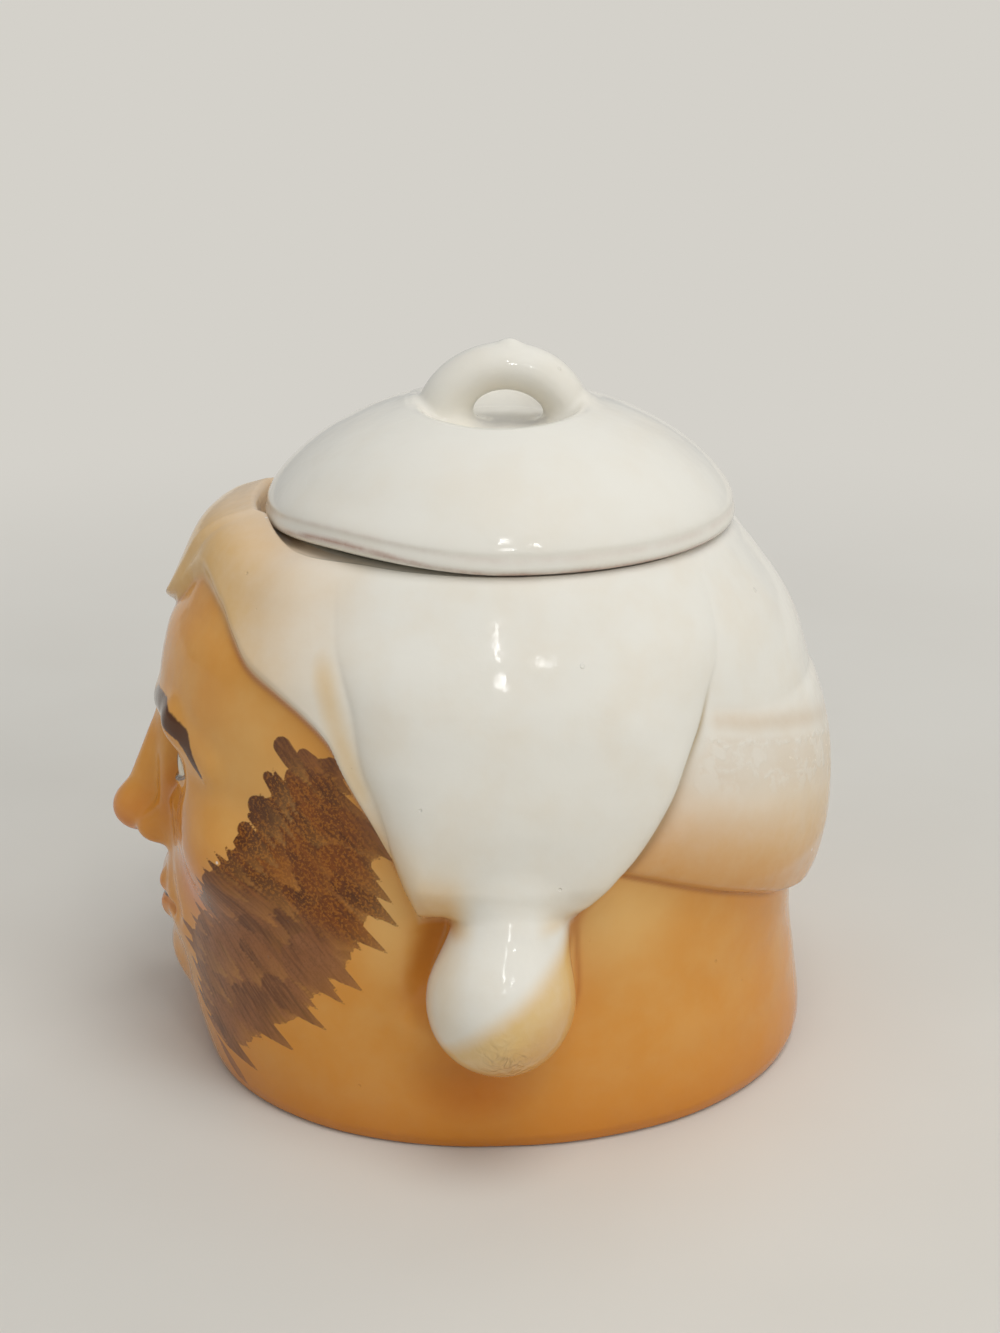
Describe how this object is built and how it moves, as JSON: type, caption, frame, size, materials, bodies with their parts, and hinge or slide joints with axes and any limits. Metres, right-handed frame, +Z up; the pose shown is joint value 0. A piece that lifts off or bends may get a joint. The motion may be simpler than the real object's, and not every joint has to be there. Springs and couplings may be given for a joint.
{
  "type": "condiment jar",
  "caption": "Lidded ceramic condiment jar in the shape of a bearded head in a soft cap; the cap's crown is the lid and lifts off by a loop.",
  "frame": {"origin": "middle of the whole jar's footprint, on the surface it stands on", "axes": "+Z up, the face looks towards -Y, +X towards the head's left side"},
  "size_m": [0.1172, 0.1164, 0.1125],
  "materials": {
    "glazed_pot": "glossy clear-glazed earthenware, airbrushed in flesh, orange and cream, with brush-painted hair",
    "glazed_lid": "glossy off-white glazed earthenware"
  },
  "bodies": {
    "jar": {"jar_body": "glazed_pot"},
    "lid": {"lid": "glazed_lid", "lid_loop": "glazed_lid"}
  },
  "joints": [
    {"name": "lid_lift", "type": "slide", "parent": "jar", "child": "lid", "axis": [0, 0, 1], "range_m": [0, 0.075]}
  ]
}
